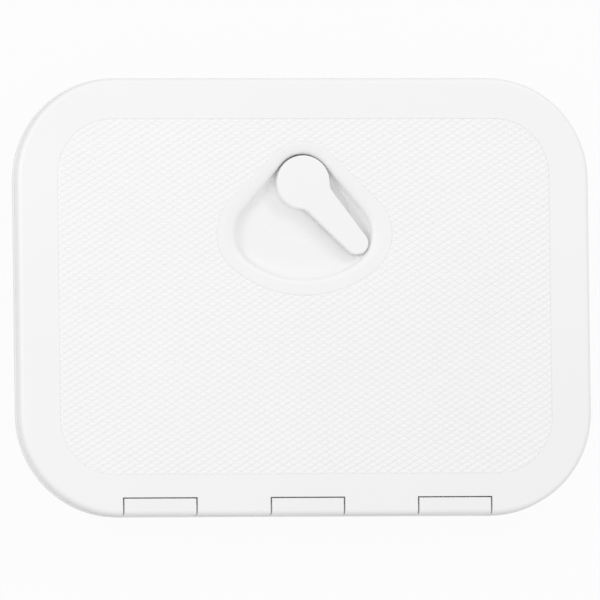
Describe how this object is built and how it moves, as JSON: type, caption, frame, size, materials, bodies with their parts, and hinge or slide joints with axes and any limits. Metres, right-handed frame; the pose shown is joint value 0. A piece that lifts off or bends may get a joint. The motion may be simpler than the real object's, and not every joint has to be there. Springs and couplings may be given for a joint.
{
  "type": "hinged deck inspection hatch",
  "caption": "Rectangular deck access hatch with round corners: a hinged anti-slip lid with a turning latch handle in a finger well, on a flanged frame let into the deck.",
  "frame": {"origin": "centre of the fixing holes on the deck plane, which is the flange's underside", "axes": "+X along the hinge edge, +Y from the hinges to the latch, +Z out of the deck"},
  "size_m": [0.36, 0.27, 0.04],
  "materials": {
    "white_moulding": "moulded weather-resistant plastic, satin",
    "white_lid_moulding": "moulded weather-resistant plastic, satin, with a fine diamond anti-slip panel",
    "white_handle_moulding": "moulded plastic, satin",
    "black_rubber": "closed-cell sealing rubber",
    "natural_nylon": "plain nylon",
    "black_nylon": "glass-filled nylon, fine grain",
    "stainless_steel": "turned stainless steel"
  },
  "bodies": {
    "frame": {"deck_frame": "white_moulding", "hinge_block_left": "white_moulding", "hinge_pin_left": "stainless_steel", "hinge_screws_left": "stainless_steel", "hinge_block_middle": "white_moulding", "hinge_pin_middle": "stainless_steel", "hinge_screws_middle": "stainless_steel", "hinge_block_right": "white_moulding", "hinge_pin_right": "stainless_steel", "hinge_screws_right": "stainless_steel"},
    "lid": {"lid": "white_lid_moulding", "lid_seal": "black_rubber"},
    "latch": {"latch_handle": "white_handle_moulding", "handle_o_ring": "black_rubber", "thrust_washer": "natural_nylon", "latch_cam": "black_nylon", "cam_washer": "stainless_steel", "lock_washer": "stainless_steel", "cam_screw": "stainless_steel"}
  },
  "joints": [
    {"name": "lid_hinge", "type": "hinge", "parent": "frame", "child": "lid", "pos_m": [0, -0.1289, 0.01], "axis": [1, 0, 0], "range_deg": [0, 180]},
    {"name": "handle_turn", "type": "hinge", "parent": "lid", "child": "latch", "pos_m": [0, 0.0703, 0], "axis": [0, 0, 1], "range_deg": [-83, 0]}
  ]
}
